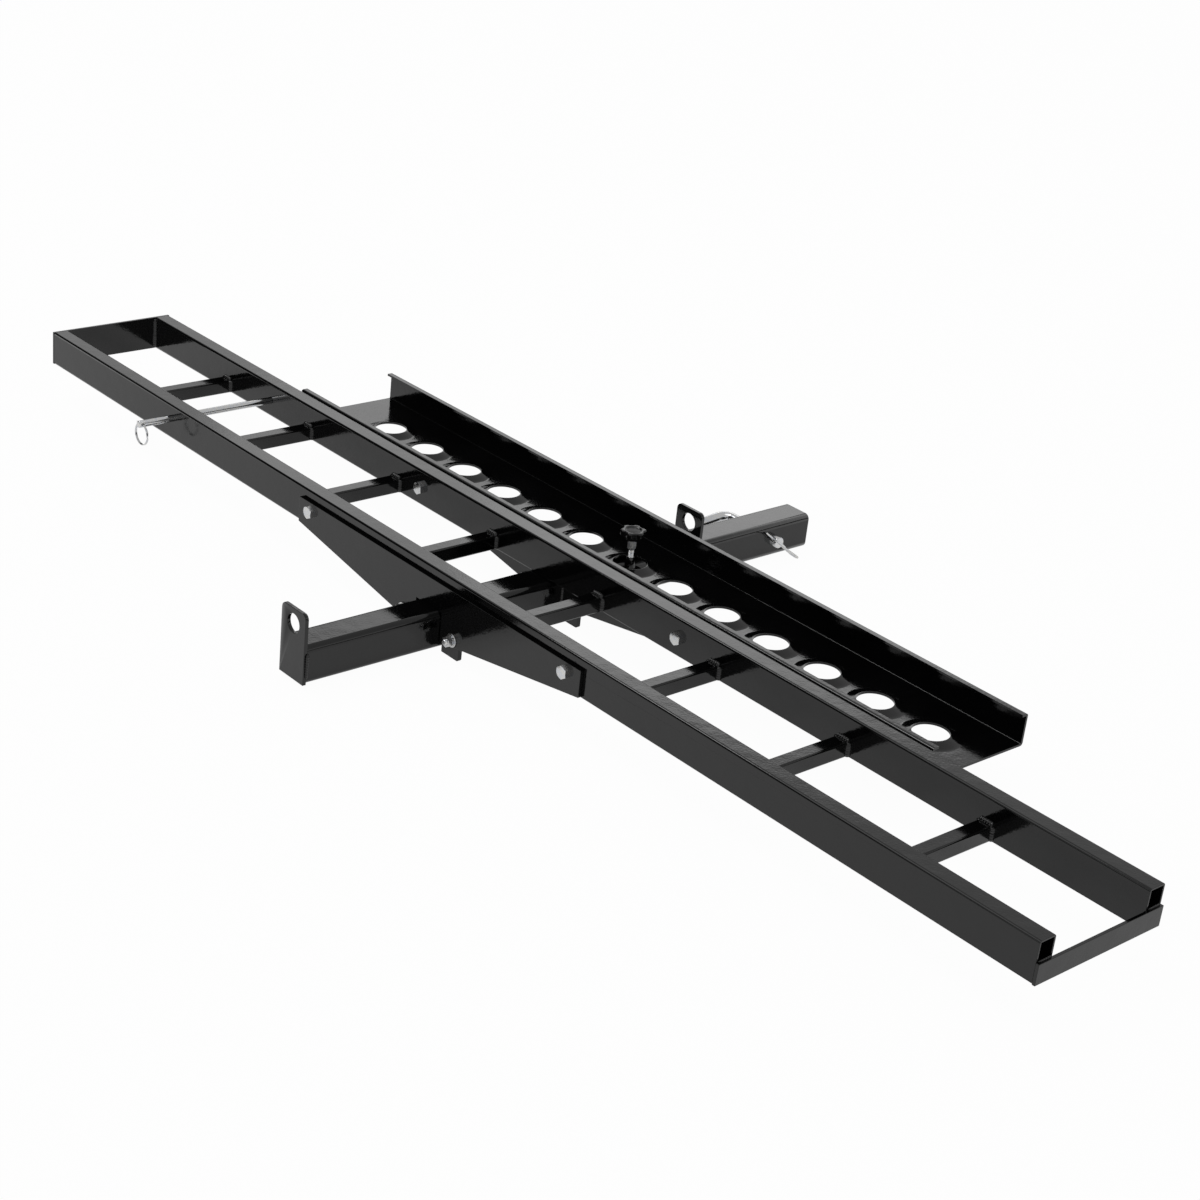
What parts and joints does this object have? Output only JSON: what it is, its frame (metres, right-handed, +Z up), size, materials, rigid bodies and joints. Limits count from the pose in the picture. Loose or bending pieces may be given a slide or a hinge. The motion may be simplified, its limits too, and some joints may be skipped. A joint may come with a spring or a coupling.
{
  "type": "hitch motorcycle carrier",
  "caption": "Single-track hitch carrier for a motorcycle: ladder track on a square hitch tube, a stowed punched loading ramp, strap plates, a hitch pin and a wheel pin.",
  "frame": {"origin": "centre of the hitch pin hole, on the shank's middle axis", "axes": "+X along the track, +Y along the hitch tube towards the vehicle, +Z up"},
  "size_m": [1.934, 0.857, 0.1107],
  "materials": {
    "frame_powder_coat": "glossy black powder coat",
    "ramp_powder_coat": "glossy black powder coat on pressed sheet",
    "zinc_hardware": "bright zinc plating",
    "bright_pins": "bright plated steel",
    "knob_plastic": "glossy black moulded plastic"
  },
  "bodies": {
    "carrier": {"hitch_tube": "frame_powder_coat", "near_strap_plate": "frame_powder_coat", "far_strap_plate": "frame_powder_coat", "near_left_ear": "frame_powder_coat", "near_right_ear": "frame_powder_coat", "far_left_ear": "frame_powder_coat", "far_right_ear": "frame_powder_coat", "near_rail": "frame_powder_coat", "far_rail": "frame_powder_coat", "left_end_plate": "frame_powder_coat", "right_end_bar": "frame_powder_coat", "rung_1": "frame_powder_coat", "rung_2": "frame_powder_coat", "rung_3": "frame_powder_coat", "rung_4": "frame_powder_coat", "rung_5": "frame_powder_coat", "rung_6": "frame_powder_coat", "rung_7": "frame_powder_coat", "rung_8": "frame_powder_coat", "near_gusset": "frame_powder_coat", "far_gusset": "frame_powder_coat", "knob_bracket": "frame_powder_coat", "knob_post": "frame_powder_coat", "gusset_bolts": "zinc_hardware", "gusset_nuts": "zinc_hardware", "clamp_bolts": "zinc_hardware", "clamp_washers": "zinc_hardware", "clamp_spring_washers": "zinc_hardware", "clamp_nuts": "zinc_hardware"},
    "ramp": {"ramp_channel": "ramp_powder_coat"},
    "sleeve": {"knob_sleeve": "bright_pins"},
    "knob": {"knob_handle": "knob_plastic", "knob_stud": "bright_pins"},
    "hitch_pin": {"hitch_pin": "bright_pins"},
    "clip": {"hitch_pin_clip": "bright_pins"},
    "wheel_pin": {"wheel_pin": "bright_pins"},
    "key_ring": {"wheel_pin_ring": "bright_pins"}
  },
  "joints": [
    {"name": "ramp_lift", "type": "slide", "parent": "carrier", "child": "ramp", "axis": [0, 0, 1], "range_m": [0, 0.12]},
    {"name": "stud_travel", "type": "slide", "parent": "carrier", "child": "sleeve", "axis": [0, 0, 1], "range_m": [-0.01, 0.03]},
    {"name": "knob_turn", "type": "hinge", "parent": "sleeve", "child": "knob", "pos_m": [0.037, -0.285, 0.07], "axis": [0, 0, 1], "range_deg": [-2900, 8700]},
    {"name": "hitch_pin_turn", "type": "hinge", "parent": "carrier", "child": "hitch_pin", "pos_m": [0, 0, 0], "axis": [1, 0, 0], "continuous": true},
    {"name": "clip_pull", "type": "slide", "parent": "hitch_pin", "child": "clip", "axis": [0, 0.788, -0.6157], "range_m": [0, 0.045]},
    {"name": "wheel_pin_pull", "type": "slide", "parent": "carrier", "child": "wheel_pin", "axis": [0, -1, 0], "range_m": [0, 0.18]},
    {"name": "ring_swing", "type": "hinge", "parent": "wheel_pin", "child": "key_ring", "pos_m": [-0.63, -0.623, 0.05], "axis": [1, 0, 0], "range_deg": [-250, 75]}
  ],
  "couplings": [
    {"joint": "knob_turn", "follows": "stud_travel", "rad_per_m": 5026.5}
  ]
}
